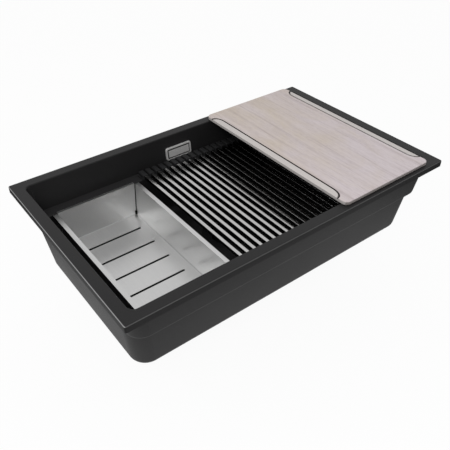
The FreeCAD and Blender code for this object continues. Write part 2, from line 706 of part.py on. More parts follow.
def make_waste_body():
    """The moulded cup under the sink: clamping bridge, side inlet for the overflow, threaded tail."""
    body = new_body("waste_body")
    outer = size.cup_bore + size.cup_wall
    cone_end = -size.cup_depth - size.cone_depth
    tail_end = cone_end - size.tail_length
    profile = draw_outline(new_sketch(body, "cup_profile", "XZ_Plane"), [
        (size.cup_bore, ZERO), (size.cup_flange, ZERO), (size.cup_flange, -size.cup_flange_thick),
        (outer, -size.cup_flange_thick), (outer, -size.cup_depth), (size.tail_radius, cone_end),
        (size.tail_radius, tail_end), (size.tail_bore, tail_end), (size.tail_bore, cone_end + size.cup_wall),
        (size.cup_bore, -size.cup_depth + size.cup_wall)])
    revolve(body, profile)
    inlet = new_sketch(body, "inlet_outside", "XZ_Plane", y=-size.inlet_depth, z=-size.inlet_reach)
    pad(body, draw_circle(inlet, size.thread_radius), size.inlet_reach - size.cup_bore)
    throat = new_sketch(body, "inlet_throat", "XZ_Plane", y=-size.inlet_depth, z=-size.inlet_reach)
    draw_circle(throat, size.throat_radius)
    pocket(body, throat, size.inlet_reach - size.cup_bore + size.cup_wall, backward=True)
    socket = new_sketch(body, "inlet_socket", "XZ_Plane", y=-size.inlet_depth, z=-size.inlet_reach)
    pocket(body, draw_circle(socket, socket_radius), size.socket_depth, backward=True)
    bridge_top = -size.hub_depth - (size.hub_length - size.spoke_height) / 2
    bridge = new_sketch(body, "bridge", z=bridge_top)
    bridge_length = size.cup_bore * 2 + size.cup_wall
    draw_rounded(bridge, bridge_length, size.spoke_thick, size.spoke_thick * small_corner_share)
    pad(body, bridge, size.spoke_height, backward=True)
    hub = draw_circle(new_sketch(body, "hub", z=-size.hub_depth), size.hub_radius)
    pad(body, hub, size.hub_length, backward=True)
    thread = new_sketch(body, "hub_bore", z=-size.hub_depth)
    draw_circle(thread, size.clamp_radius + size.fit_clearance)
    pocket(body, thread, size.hub_length)
    bind_place(body, y=size.waste_back, z=cup_level)


def make_clamp_screw():
    """The long screw that pulls the dish down and the cup up against the sink's floor."""
    body = new_body("waste_screw")
    pad(body, draw_circle(new_sketch(body, "clamp_cap_ring"), size.clamp_head), size.clamp_cap)
    shank = draw_circle(new_sketch(body, "clamp_shank"), size.clamp_radius)
    pad(body, shank, size.clamp_length, backward=True)
    round_edges(body, "clamp_cap_edge", size.clamp_cap / 2, edges_at(size.clamp_cap))
    bind_place(body, y=size.waste_back, z=dish_floor)


def make_basket():
    """The strainer basket: perforated cup, the plug under it and the knob that lifts it."""
    make_ring("basket_plug", dish_floor, size.plug_radius, size.plug_bore, size.plug_thick)
    cup = new_body("basket_cup")
    inside = size.basket_radius - size.basket_sheet
    lip_top = size.basket_height + size.basket_sheet
    profile = draw_outline(new_sketch(cup, "basket_profile", "XZ_Plane"), [
        (ZERO, ZERO), (size.basket_radius, ZERO), (size.basket_radius, size.basket_height),
        (size.basket_lip, size.basket_height), (size.basket_lip, lip_top), (inside, lip_top),
        (inside, size.basket_sheet), (ZERO, size.basket_sheet)])
    revolve(cup, profile)
    floor_hole = new_sketch(cup, "basket_floor_hole", z=size.basket_sheet)
    draw_circle(floor_hole, size.basket_hole, x=size.basket_hole_ring)
    rows = [pocket(cup, floor_hole, size.basket_sheet)]
    for number, height_share in enumerate(basket_row_shares):
        side_hole = new_sketch(cup, "basket_side_hole_%d" % number, "YZ_Plane", z=inside - size.basket_sheet)
        draw_circle(side_hole, size.basket_hole, y=size.basket_height * height_share)
        rows.append(pocket(cup, side_hole, size.basket_sheet * 3, backward=True))
    ring_pattern(cup, rows, size.basket_holes)
    floor = dish_floor + size.plug_thick
    bind_place(cup, y=size.waste_back, z=floor)
    knob = new_body("basket_knob")
    neck = size.knob_height - size.knob_thick
    knob_edge = size.knob_thick * small_corner_share
    outline = draw_outline(new_sketch(knob, "knob_profile", "XZ_Plane"), [
        (ZERO, ZERO), (size.knob_foot, ZERO), (size.knob_stem, size.knob_foot / 2), (size.knob_stem, neck),
        (size.knob_radius, neck + knob_edge), (size.knob_radius, size.knob_height), (ZERO, size.knob_height)])
    revolve(knob, outline)
    round_edges(knob, "knob_edge", knob_edge, edges_at(size.knob_height))
    bind_place(knob, y=size.waste_back, z=floor + size.basket_sheet)


def colander_half(top_half, height):
    """Half an inside size of the colander at a height, its walls drafted like the bowl's."""
    return top_half - (size.colander_sheet - height) * size.draft_share


def tub_sections(body, name, floor, grow, bend, corner):
    """Sections of the colander's tub from its top down its drafted walls and round the bend to its floor."""
    stages = [(size.colander_sheet, ZERO)]
    for turn in quarter_turns():
        stages.append((floor + bend * (1 - math.sin(turn)), bend * (1 - math.cos(turn))))
    sections = []
    for number, (height, inset) in enumerate(stages):
        half_x = colander_half(colander_half_x, height) + grow - inset
        half_y = colander_half(colander_half_y, height) + grow - inset
        sketch = new_sketch(body, "%s_%d" % (name, number), z=height)
        sections.append(draw_rounded(sketch, half_x * 2, half_y * 2, corner))
    return sections


def slit_section(body, name, height, side_x, side_y):
    """A square at one corner of the colander that parts its two walls."""
    side = size.corner_slit + size.colander_sheet * 2
    inset = side / 2 - size.corner_slit
    x = (colander_half(colander_half_x, height) + inset) * side_x
    y = (colander_half(colander_half_y, height) + inset) * side_y
    sketch = new_sketch(body, name, x=x, y=y, z=height)
    return draw_rounded(sketch, side, side, size.colander_sheet * small_corner_share)


def cut_colander_corner(body, side_x, side_y):
    """Opens one corner with a slit down to a round relief at the floor."""
    floor = -size.colander_depth
    name = "%d%d" % (side_x + 1, side_y + 1)
    slit = []
    for number, height in enumerate((size.colander_sheet, floor)):
        slit.append(slit_section(body, "slit_%s_%d" % (name, number), height, side_x, side_y))
    loft(body, slit, cut=True)
    x = colander_half(colander_half_x, floor) * side_x
    y = colander_half(colander_half_y, floor) * side_y
    relief = new_sketch(body, "relief_" + name, x=x, y=y, z=floor + size.relief_height)
    pocket(body, draw_circle(relief, size.relief_radius), size.relief_height)


def make_colander():
    """The colander folded from one sheet: open corner slits, lips on all sides, long drain slots."""
    body = new_body("colander")
    sheet_thick = size.colander_sheet
    floor = -size.colander_depth
    inner_floor = floor + sheet_thick
    thin = sheet_thick * small_corner_share
    bend = size.colander_bend
    loft(body, tub_sections(body, "tub", floor, sheet_thick, bend + sheet_thick, sheet_thick))
    loft(body, tub_sections(body, "tub_inside", inner_floor, ZERO, bend, thin), cut=True)
    for side in (-1, 1):
        side_x = (colander_half_x + size.side_lip / 2) * side
        side_lip = new_sketch(body, "side_lip_%d" % (side + 1), x=side_x)
        draw_rounded(side_lip, size.side_lip, (colander_half_y - size.corner_slit) * 2, thin)
        pad(body, side_lip, sheet_thick)
        end_y = (colander_half_y + size.end_lip / 2) * side
        end_lip = new_sketch(body, "end_lip_%d" % (side + 1), y=end_y)
        draw_rounded(end_lip, (colander_half_x - size.corner_slit) * 2, size.end_lip, thin)
        pad(body, end_lip, sheet_thick)
    for side_x, side_y in ((1, 1), (-1, 1), (-1, -1), (1, -1)):
        cut_colander_corner(body, side_x, side_y)
    slot_span = (colander_half_y - size.drain_slot_margin) * 2
    slot_length = (colander_half_x - size.drain_slot_inset) * 2
    slot = new_sketch(body, "drain_slot", y=-slot_span / 2, z=inner_floor)
    draw_rounded(slot, slot_length, size.drain_slot_width, size.drain_slot_width * slot_end_share)
    row_pattern(body, [pocket(body, slot, sheet_thick)], "Y_Axis", slot_span, size.drain_slots)
    bind_place(body, colander_x, ZERO, ledge_top)


def draw_tube(sketch, grow):
    """The square outline of a rack tube, grown by a margin."""
    width = size.tube_width + grow * 2
    return draw_rounded(sketch, width, width, size.tube_corner + grow)


def make_strip(label, side):
    """One silicone end strip of the rack: a thin band that rolls, with a block round each tube's end."""
    body = new_body(label)
    band_length = tube_span + size.block_width + size.strip_end * 2
    band_y = (strip_back - size.strip_width / 2) * side
    band = new_sketch(body, label + "_band", x=tube_first + tube_span / 2, y=band_y)
    pad(body, draw_rounded(band, band_length, size.strip_width, size.block_round), size.strip_band)
    outer_face = -strip_back * side
    inner_face = -(strip_back - size.strip_width) * side
    block = new_sketch(body, label + "_block", "XZ_Plane", tube_first, size.block_height / 2, outer_face)
    draw_rounded(block, size.block_width, size.block_height, size.block_round)
    block_pad = pad(body, block, size.strip_width, backward=side < 0)
    bore = new_sketch(body, label + "_bore", "XZ_Plane", tube_first, size.tube_height, inner_face)
    draw_tube(bore, size.fit_clearance)
    bore_cut = pocket(body, bore, size.tube_grip, backward=side < 0)
    row_pattern(body, [block_pad, bore_cut], "X_Axis", tube_span, size.tube_count)
    bind_place(body, z=ledge_top)


def make_tube(number):
    """One hollow square steel tube of the rack, its ends at the bottoms of the strips' bores."""
    body = new_body("rack_tube_%02d" % (number + 1))
    ring = new_sketch(body, "tube_ring_%02d" % (number + 1), "XZ_Plane")
    draw_tube(ring, ZERO)
    draw_tube(ring, -size.tube_wall)
    reach = strip_back - size.strip_width + size.tube_grip
    pad(body, ring, reach * 2, both_ways=True)
    bind_place(body, x=tube_first + size.tube_pitch * number, z=ledge_top + size.tube_height)


def draw_grip(sketch, grow):
    """A finger grip's outline about the board's edge, its ends half ovals, grown by a margin."""
    wide = size.grip_width + grow
    oval = size.grip_oval + grow
    straight = size.rim_width / 2 - size.board_inset - size.grip_margin - size.grip_oval
    half_turn = [-turn for turn in reversed(quarter_turns())][:-1] + quarter_turns()
    points = []
    for end in (1, -1):
        for turn in half_turn:
            points.append((wide * math.sin(-turn) * end, (straight + oval * math.cos(turn)) * end))
    return draw_outline(sketch, points)


def make_board():
    """The cutting board: round corners, and along both long edges a finger grip inside a thin groove."""
    body = new_body("cutting_board")
    board_length = size.rim_width - size.board_inset * 2
    plate = draw_rounded(new_sketch(body, "board_plate"), size.board_width, board_length, size.board_corner)
    pad(body, plate, size.board_thick)
    round_edges(body, "board_edges", size.board_round, edges_at(size.board_thick, ZERO))
    lean = math.degrees(math.atan(size.grip_fall_share.value))
    grip_level = size.board_thick - size.grip_width * size.grip_fall_share
    for side in (-1, 1):
        edge_x = size.board_width / 2 * side
        groove = new_sketch(body, "grip_groove_%d" % (side + 1), x=edge_x, z=size.board_thick)
        draw_grip(groove, size.groove_width)
        draw_grip(groove, ZERO)
        pocket(body, groove, size.groove_depth)
        bevel = new_sketch(body, "grip_bevel_%d" % (side + 1), x=edge_x, z=grip_level)
        turn = FreeCAD.Rotation(FreeCAD.Vector(0, side, 0), lean)
        bevel.AttachmentOffset = FreeCAD.Placement(FreeCAD.Vector(0, 0, 0), turn)
        bevel.setExpression("AttachmentOffset.Rotation.Angle", "atan(Sizes.grip_fall_share)")
        pocket(body, draw_grip(bevel, ZERO), size.board_thick, backward=True)
    board_x = size.rim_length / 2 - size.board_side_inset - size.board_width / 2
    bind_place(body, x=board_x, z=rim_top)


make_basin()
make_overflow_gasket()
make_overflow_frame()
make_overflow_cover()
make_outlet_gasket()
make_outlet()
make_outlet_screws()
make_pipe()
make_pipe_seals()
make_pipe_nuts()
make_ring("waste_upper_seal", seat_level, size.dish_flange, size.seal_bore, size.waste_seal)
make_ring("waste_lower_seal", cup_level, size.cup_flange, size.seal_bore, size.lower_seal)
make_dish()
make_waste_body()
make_clamp_screw()
make_basket()
make_colander()
make_strip("rack_strip_front", -1)
make_strip("rack_strip_back", 1)
for tube_number in range(count_of("tube_count")):
    make_tube(tube_number)
make_board()
doc.recompute()

# Nothing is written unless every object of the document is sound
grouped = [body for group in doc.findObjects("Part::Compound") for body in group.Links]
nodes = [item for item in doc.findObjects("PartDesign::Body") if item not in grouped]
nodes += doc.findObjects("Part::Compound")
failed = [item.Label for item in doc.Objects if "Invalid" in item.State or "Error" in item.State]
failed += [item.Label for item in nodes if item.Shape.isNull() or not item.Shape.isValid()]
if failed:
    raise RuntimeError("these did not build: %s" % ", ".join(failed))
os.makedirs("parts", exist_ok=True)
for item in nodes:
    item.Shape.exportStep("parts/%s.step" % item.Label)
    print(item.Label, round(item.Shape.Volume), len(item.Shape.Solids))
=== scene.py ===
import math

import bpy
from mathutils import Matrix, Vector


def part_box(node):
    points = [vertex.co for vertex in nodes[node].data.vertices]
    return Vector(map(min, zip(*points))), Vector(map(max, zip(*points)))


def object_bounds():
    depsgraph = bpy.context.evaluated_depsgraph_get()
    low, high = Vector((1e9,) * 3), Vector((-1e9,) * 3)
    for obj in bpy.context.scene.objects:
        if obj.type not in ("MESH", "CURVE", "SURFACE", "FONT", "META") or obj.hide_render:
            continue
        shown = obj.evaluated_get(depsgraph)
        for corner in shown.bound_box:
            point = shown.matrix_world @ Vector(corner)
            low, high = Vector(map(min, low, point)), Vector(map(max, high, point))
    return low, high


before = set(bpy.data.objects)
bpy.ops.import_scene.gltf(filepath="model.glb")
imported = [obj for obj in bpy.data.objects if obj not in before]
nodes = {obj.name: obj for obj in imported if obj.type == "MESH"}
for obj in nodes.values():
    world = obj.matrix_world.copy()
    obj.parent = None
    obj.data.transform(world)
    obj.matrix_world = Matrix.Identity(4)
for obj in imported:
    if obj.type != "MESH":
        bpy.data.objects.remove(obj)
cad_box = [list(corner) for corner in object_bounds()]

# Sizes are in metres in the frame of the solids, colours are linear, and noises have scales and stretches
# in features per metre. Limits named UPRIGHT, FACING, TURNED or FOLD are on parts of the unit normal.
METRE = 1.0
MM = 0.001

# The usual span of a noise, and the stops between which a ramp goes from dark to pale
NOISE_SPAN = (0.3, 0.7)
GRAIN_STOPS = (0.35, 0.65)
STEEL_STOPS = (0.32, 0.68)

# Places of a colour mix's sockets
MIX_FACTOR = 0
MIX_FIRST = 6
MIX_SECOND = 7
MIX_RESULT = 2


class NodeTree:
    """A node tree, with short calls to add nodes and join them."""

    def __init__(self, tree):
        self.tree = tree

    def node(self, kind, inputs=(), **settings):
        made = self.tree.nodes.new("ShaderNode" + kind)
        for key, value in settings.items():
            setattr(made, key, value)
        for key, value in dict(inputs).items():
            self.feed(made, key, value)
        return made

    def feed(self, node, key, value):
        if isinstance(value, bpy.types.NodeSocket):
            self.tree.links.new(value, node.inputs[key])
        else:
            node.inputs[key].default_value = value

    def math(self, operation, first, second=0.0):
        return self.node("Math", {0: first, 1: second}, operation=operation).outputs[0]

    def plus(self, first, second):
        return self.math("ADD", first, second)

    def minus(self, first, second):
        return self.math("SUBTRACT", first, second)

    def times(self, first, second):
        return self.math("MULTIPLY", first, second)

    def larger(self, first, second=0.0):
        return self.math("MAXIMUM", first, second)

    def absolute(self, value):
        return self.math("ABSOLUTE", value)

    def above(self, value, limit):
        """One where a value is over a limit, and nought elsewhere."""
        return self.math("GREATER_THAN", value, limit)

    def below(self, value, limit):
        """One where a value is under a limit, and nought elsewhere."""
        return self.math("LESS_THAN", value, limit)

    def remap(self, value, source, target=(0.0, 1.0)):
        """Takes a value from one range to another, and holds it there."""
        made = self.node("MapRange", {"Value": value, "From Min": source[0], "From Max": source[1],
                                      "To Min": target[0], "To Max": target[1]})
        return made.outputs["Result"]

    def spread(self, noise, low, high):
        """Spreads a noise's usual span over a range."""
        return self.remap(noise, NOISE_SPAN, (low, high))

    def blend(self, first, second, share):
        """Adds two values, the first by its share and the second by the rest."""
        return self.plus(self.times(first, share), self.times(second, 1 - share))

    def mix(self, factor, first, second):
        """Goes from one colour to another by a factor."""
        colours = {MIX_FACTOR: factor, MIX_FIRST: first, MIX_SECOND: second}
        return self.node("Mix", colours, data_type="RGBA").outputs[MIX_RESULT]

    def ramp(self, factor, stops, dark, pale):
        """Goes from dark to pale between two stops of a factor."""
        made = self.node("ValToRGB", {"Fac": factor})
        for element, stop, colour in zip(made.color_ramp.elements, stops, (dark, pale)):
            element.position = stop
            element.color = colour
        return made.outputs["Color"]

    def place(self, stretch=(1, 1, 1)):
        """Positions on the piece in metres, stretched along each axis."""
        where = self.node("TexCoord").outputs["Object"]
        return self.node("Mapping", {"Vector": where, "Scale": stretch}).outputs["Vector"]

    def where(self):
        """X, Y and Z of a point on the piece."""
        return self.node("SeparateXYZ", {"Vector": self.place()}).outputs

    def facing(self):
        """X, Y and Z of the surface's normal."""
        normal = self.node("NewGeometry").outputs["Normal"]
        return self.node("SeparateXYZ", {"Vector": normal}).outputs

    def noise(self, scale=1.0, detail=2.0, roughness=0.5, stretch=(1, 1, 1), distortion=0.0):
        made = self.node("TexNoise", {"Vector": self.place(stretch), "Scale": scale, "Detail": detail,
                                      "Roughness": roughness, "Distortion": distortion})
        return made.outputs["Fac"]


class Shader(NodeTree):
    """A node material whose surface is one Principled shader."""

    def __init__(self, name):
        self.material = bpy.data.materials.new(name)
        self.material.use_nodes = True
        super().__init__(self.material.node_tree)
        self.surface = self.tree.nodes["Principled BSDF"]

    def bump(self, height, distance):
        made = self.node("Bump", {"Height": height, "Distance": distance})
        self.feed(self.surface, "Normal", made.outputs["Normal"])

    def finish(self, colour, roughness, **uniform):
        """Sets the colour, the roughness and any sockets that are the same all over."""
        self.feed(self.surface, "Base Color", colour)
        self.feed(self.surface, "Roughness", roughness)
        for key, value in uniform.items():
            self.feed(self.surface, key.replace("_", " "), value)
        return self.material


# Moulded materials: a fine grain over soft clouds
GRAIN = {"detail": 4.0, "roughness": 0.65}
GRAIN_SHARE = 0.7
MOULDED_VARIES = 0.06
SILICONE_DARK = (0.010, 0.010, 0.011, 1)
SILICONE_PALE = (0.020, 0.020, 0.021, 1)
RUBBER_DARK = (0.016, 0.016, 0.016, 1)
RUBBER_PALE = (0.034, 0.033, 0.032, 1)
FITTING_DARK = (0.50, 0.50, 0.485, 1)
FITTING_PALE = (0.60, 0.60, 0.585, 1)
NUT_DARK = (0.045, 0.045, 0.048, 1)
NUT_PALE = (0.075, 0.075, 0.08, 1)


def moulded_grain(shader, grain_scale, cloud_scale):
    """The fine grain alone, and the grain blended with soft clouds."""
    grain = shader.noise(grain_scale, **GRAIN)
    cloud = shader.noise(cloud_scale)
    return grain, shader.blend(grain, cloud, GRAIN_SHARE)


def moulded(name, dark, pale, grain_size, cloud_size, rough, grain_depth, **uniform):
    """A moulded plastic or rubber, with its grain in its bump."""
    shader = Shader(name)
    grain, blend = moulded_grain(shader, 1 / grain_size, 1 / cloud_size)
    shader.bump(grain, grain_depth)
    roughness = shader.spread(blend, rough - MOULDED_VARIES, rough + MOULDED_VARIES)
    return shader.finish(shader.ramp(blend, GRAIN_STOPS, dark, pale), roughness, **uniform)


# Basin: black composite, with a painted highlight along the rim's outer edges and painted light on the
# ledge's top
RIM_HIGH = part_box("basin")[1]
RIM_TOP = RIM_HIGH[2]
RIM_EDGE = 1.8 * MM
RIM_SIDE_SHARE = 0.22
RIM_EDGE_LEAN = (0.05, 0.2)
LEDGE_DROP = 69 * MM
LEDGE_BAND = 1.5 * MM
LEDGE_UPRIGHT = 0.9
LEDGE_LIGHT_SPREAD = (0.6, 1.0)
STONE_GRAIN = 900
STONE_CLOUD = 8
STONE_GRAIN_DEPTH = 0.12 * MM
STONE_ROUGH = (0.44, 0.56)
STONE_SPECULAR = 0.27
STONE_DARK = (0.0085, 0.0083, 0.0086, 1)
STONE_PALE = (0.0155, 0.015, 0.0155, 1)
STONE_EDGE_HIGHLIGHT = (0.30, 0.30, 0.30, 1)
STONE_LEDGE_LIGHT = (0.026, 0.0255, 0.026, 1)


def rim_edge_highlight(shader, where, upright):
    """How much painted highlight a point gets on the rounded outer edge of the rim's top, less on the long
    sides.
    """
    end = shader.above(shader.absolute(where["X"]), RIM_HIGH[0] - RIM_EDGE)
    side = shader.above(shader.absolute(where["Y"]), RIM_HIGH[1] - RIM_EDGE)
    outer = shader.larger(end, shader.times(side, RIM_SIDE_SHARE))
    high = shader.above(where["Z"], RIM_TOP - RIM_EDGE)
    lean = shader.times(upright, shader.minus(1.0, upright))
    return shader.times(shader.times(outer, high), shader.remap(lean, RIM_EDGE_LEAN))


def on_ledge(shader, where, upright):
    """One on the ledge's flat top, and nought elsewhere."""
    off_ledge = shader.absolute(shader.minus(where["Z"], RIM_TOP - LEDGE_DROP))
    return shader.times(shader.below(off_ledge, LEDGE_BAND), shader.above(upright, LEDGE_UPRIGHT))


def composite_stone():
    """Matt black composite with a fine grain."""
    shader = Shader("composite")
    grain, blend = moulded_grain(shader, STONE_GRAIN, STONE_CLOUD)
    where = shader.where()
    upright = shader.facing()["Z"]
    colour = shader.ramp(blend, GRAIN_STOPS, STONE_DARK, STONE_PALE)
    # Painted highlight: a pale grey along the rim's outer edge, stronger at the ends than on the long
    # sides.
    colour = shader.mix(rim_edge_highlight(shader, where, upright), colour, STONE_EDGE_HIGHLIGHT)
    # Painted light: the ledge's flat top is made paler, mottled by the grain.
    ledge_light = shader.times(on_ledge(shader, where, upright), shader.spread(grain, *LEDGE_LIGHT_SPREAD))
    colour = shader.mix(ledge_light, colour, STONE_LEDGE_LIGHT)
    shader.bump(grain, STONE_GRAIN_DEPTH)
    return shader.finish(colour, shader.spread(blend, *STONE_ROUGH), Specular_IOR_Level=STONE_SPECULAR)


# Overflow: satin steel with a fine speckle, and painted black shade in and beside the gap between frame
# and cover
SPECKLE = {"scale": 700, "detail": 3.0, "roughness": 0.7, "stretch": (1, 1, 1.6)}
SPECKLE_DEPTH = 0.2 * MM
SATIN_ROUGH = (0.6, 0.74)
FRAME_SHADE_BAND = (4.7 * MM, METRE)
COVER_SHADE_BAND = (-METRE, 0.9 * MM)
OVERFLOW_DARK = (0.70, 0.695, 0.69, 1)
OVERFLOW_PALE = (0.92, 0.915, 0.905, 1)
GAP_SHADE_BLACK = (0.004, 0.004, 0.004, 1)


def inset(shader, box):
    """How far a point lies inside a box's outline as seen along Y."""
    low, high = box
    where = shader.where()
    depths = []
    for axis, key in ((0, "X"), (2, "Z")):
        off = shader.absolute(shader.minus(where[key], (low[axis] + high[axis]) / 2))
        depths.append(shader.minus((high[axis] - low[axis]) / 2, off))
    return shader.math("MINIMUM", *depths)


def overflow_steel(name, shade_band):
    """Satin steel, with painted black shade, not metal, between two insets from the piece's outline."""
    shader = Shader(name)
    speckle = shader.noise(**SPECKLE)
    depth = inset(shader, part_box(name))
    in_shade_band = shader.times(shader.above(depth, shade_band[0]), shader.below(depth, shade_band[1]))
    # Painted shade: a black band round the gap between frame and cover, wider than the gap itself.
    colour = shader.mix(in_shade_band, shader.ramp(speckle, STEEL_STOPS, OVERFLOW_DARK, OVERFLOW_PALE), GAP_SHADE_BLACK)
    shader.bump(speckle, SPECKLE_DEPTH)
    shader.feed(shader.surface, "Metallic", shader.minus(1.0, in_shade_band))
    return shader.finish(colour, shader.spread(speckle, *SATIN_ROUGH))


# Waste: moulded plastic with thread turns round its tail
WASTE_GRAIN = 1100
WASTE_ROUGH = (0.4, 0.5)
WASTE_GRAIN_SHARE = 0.05
TAIL_LENGTH = 26 * MM
THREAD_PITCH = 2.3 * MM
THREAD_SHARE = 0.6
THREAD_DEPTH = 0.8 * MM


def waste_plastic():
    """The waste's plastic, with ridges in its bump where the tail is threaded."""
    shader = Shader("waste_plastic")
    grain = shader.noise(WASTE_GRAIN, **GRAIN)
    height = shader.where()["Z"]
    turns = shader.math("SINE", shader.times(height, 2 * math.pi / THREAD_PITCH))
    on_tail = shader.below(height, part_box("waste_body")[0][2] + TAIL_LENGTH)
    ridges = shader.times(shader.times(turns, on_tail), THREAD_SHARE)
    shader.bump(shader.plus(ridges, shader.times(grain, WASTE_GRAIN_SHARE)), THREAD_DEPTH)
    colour = shader.ramp(grain, GRAIN_STOPS, FITTING_DARK, FITTING_PALE)
    return shader.finish(colour, shader.spread(grain, *WASTE_ROUGH))


# Brushed steels: fine lines, long along the axis with the fewest features per metre
LINES = {"detail": 5.0, "roughness": 0.7}
LINE_SHARE = 0.75
STEEL_CLOUD = 14
# Painted shade: near black steel for the waste's dish, basket and knob
WASTE_STEEL_LINES = (400, 400, 30)
WASTE_STEEL_ROUGH = (0.36, 0.50)
WASTE_SHADE_DARK = (0.018, 0.018, 0.019, 1)
WASTE_SHADE_PALE = (0.034, 0.034, 0.035, 1)
FASTENER_LINES = (300, 300, 60)
FASTENER_ROUGH = (0.27, 0.41)
BRUSH_DEPTH = 0.02 * MM
SHEET_LINES = (900, 14, 900)
SHEET_ROUGH = (0.29, 0.35)
SHEET_DEPTH = 0.003 * MM
SHEET_DARK = (0.575, 0.575, 0.575, 1)
SHEET_PALE = (0.655, 0.655, 0.65, 1)
# Painted shade along the colander's folds
SHEET_FOLD_SHADE = (0.49, 0.49, 0.49, 1)
FOLD_OFF_WALL = (0.16, 0.3)
FOLD_OFF_FLOOR = (0.998, 0.97)
TUBE_LINES = (500, 14, 500)
TUBE_ROUGH = (0.13, 0.23)
TUBE_SCRATCH = 0.004 * MM
TUBE_CROWN = 2.7 * MM
CROWN_SHIFT = 0.26
TUBE_TURNED = (0.99, 0.9)
TUBE_FIRST = sum(corner[0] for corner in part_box("rack_tube_01")) / 2
TUBE_PITCH = sum(corner[0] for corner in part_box("rack_tube_02")) / 2 - TUBE_FIRST
TUBE_DARK = (0.49, 0.485, 0.48, 1)
TUBE_PALE = (0.60, 0.595, 0.59, 1)
# Painted shade on the tubes' sides
TUBE_SIDE_SHADE = (0.10, 0.10, 0.10, 1)


def brush_lines(shader, stretch):
    """Fine lines, stretched along each axis."""
    return shader.noise(stretch=stretch, **LINES)


def cloudy(shader, lines):
    """Brush lines blended with soft clouds."""
    return shader.blend(lines, shader.noise(STEEL_CLOUD), LINE_SHARE)


def brushed(name, dark, pale, stretch, rough):
    """Plain brushed steel."""
    shader = Shader(name)
    lines = brush_lines(shader, stretch)
    blend = cloudy(shader, lines)
    shader.bump(lines, BRUSH_DEPTH)
    colour = shader.ramp(blend, STEEL_STOPS, dark, pale)
    return shader.finish(colour, shader.spread(blend, *rough), Metallic=1.0)


def sheet_steel():
    """The colander's brushed sheet, lines along Y, with painted shade along the folds."""
    shader = Shader("colander_steel")
    lines = brush_lines(shader, SHEET_LINES)
    blend = cloudy(shader, lines)
    upright = shader.facing()["Z"]
    fold_shade = shader.times(shader.remap(upright, FOLD_OFF_WALL), shader.remap(upright, FOLD_OFF_FLOOR))
    # Painted shade: the folds between floor and walls are darkened, which dims the reflection along them.
    colour = shader.mix(fold_shade, shader.ramp(blend, STEEL_STOPS, SHEET_DARK, SHEET_PALE), SHEET_FOLD_SHADE)
    shader.bump(lines, SHEET_DEPTH)
    return shader.finish(colour, shader.spread(blend, *SHEET_ROUGH), Metallic=1.0)


def tube_steel():
    """Drawn square tube: fine lines along Y, painted shade on the sides, and a slight crown that leans to
    the right.
    """
    shader = Shader("tube_steel")
    lines = brush_lines(shader, TUBE_LINES)
    side_shade = shader.remap(shader.absolute(shader.facing()["Z"]), TUBE_TURNED)
    # Painted shade: the tube's sides and ends, away from its top and bottom, are near black.
    colour = shader.mix(side_shade, shader.ramp(lines, STEEL_STOPS, TUBE_DARK, TUBE_PALE), TUBE_SIDE_SHADE)
    step = shader.math("DIVIDE", shader.minus(shader.where()["X"], TUBE_FIRST), TUBE_PITCH)
    off_crown = shader.plus(shader.minus(step, shader.math("ROUND", step)), CROWN_SHIFT)
    crown = shader.times(shader.times(off_crown, off_crown), -TUBE_CROWN)
    shader.bump(shader.plus(crown, shader.times(lines, TUBE_SCRATCH)), METRE)
    return shader.finish(colour, shader.spread(lines, *TUBE_ROUGH), Metallic=1.0)


# Board: pale greyed wood, grain along Y, tan towards its back end
BOARD_LOW, BOARD_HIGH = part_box("cutting_board")
BOARD_CENTRE_X = (BOARD_LOW[0] + BOARD_HIGH[0]) / 2
BOARD_HALF_WIDTH = (BOARD_HIGH[0] - BOARD_LOW[0]) / 2
GRIP_WIDTH = 15 * MM
GRIP_OVAL = 26 * MM
GRIP_STRAIGHT = 192 * MM
GRIP_UPRIGHT = 0.3
GRIP_FIBRE = (0.0, 0.16)
GROOVE_WIDTH = 3.2 * MM
GROOVE_DEPTH = 1.8 * MM
GROOVE_SHADE_MARGIN = 0.8 * MM
FIBRE = {"detail": 3.0, "roughness": 0.7, "stretch": (420, 60, 420)}
STREAK = {"detail": 4.0, "roughness": 0.65, "stretch": (190, 5, 190), "distortion": 0.2}
FIGURE = {"detail": 3.0, "roughness": 0.6, "stretch": (52, 4, 52), "distortion": 0.8}
PATCH = {"detail": 4.0, "roughness": 0.6, "stretch": (13, 6, 13), "distortion": 0.6}
RING_STRETCH = (1, 0.1, 1)
RING_WAVE = {"Scale": 9.0, "Distortion": 5.0, "Detail": 3.0, "Detail Scale": 1.4}
RING_LINE = (0.06, 0.0)
RING_SHADE = (0.0, 0.32)
STREAK_SHADE = (-0.14, 0.2)
FIGURE_SHADE = (-0.05, 0.08)
FIBRE_SHADE = (-0.1, 0.2)
FIBRE_DEPTH = 0.08 * MM
TAN_DRIFT = 0.7
TAN_FROM = 110 * MM
WOOD_EDGE_UPRIGHT = (0.25, 0.8)
WOOD_EDGE_SHARE = (0.85, 0.0)
WOOD_END_FACING = 0.6
WOOD_UNDER_FACING = -0.5
WOOD_ROUGH = (0.5, 0.64)
WOOD_SPECULAR = 0.35
WOOD_LILAC = (0.64, 0.57, 0.585, 1)
WOOD_BEIGE = (0.595, 0.515, 0.44, 1)
WOOD_GRAIN = (0.29, 0.235, 0.235, 1)
WOOD_UNDER_SHADE = (0.10, 0.085, 0.08, 1)
GRIP_PALE = (0.61, 0.575, 0.555, 1)
GROOVE_SHADE_BROWN = (0.032, 0.027, 0.025, 1)
WOOD_EDGE = (0.47, 0.45, 0.435, 1)
WOOD_END_SHADE = (0.21, 0.19, 0.18, 1)


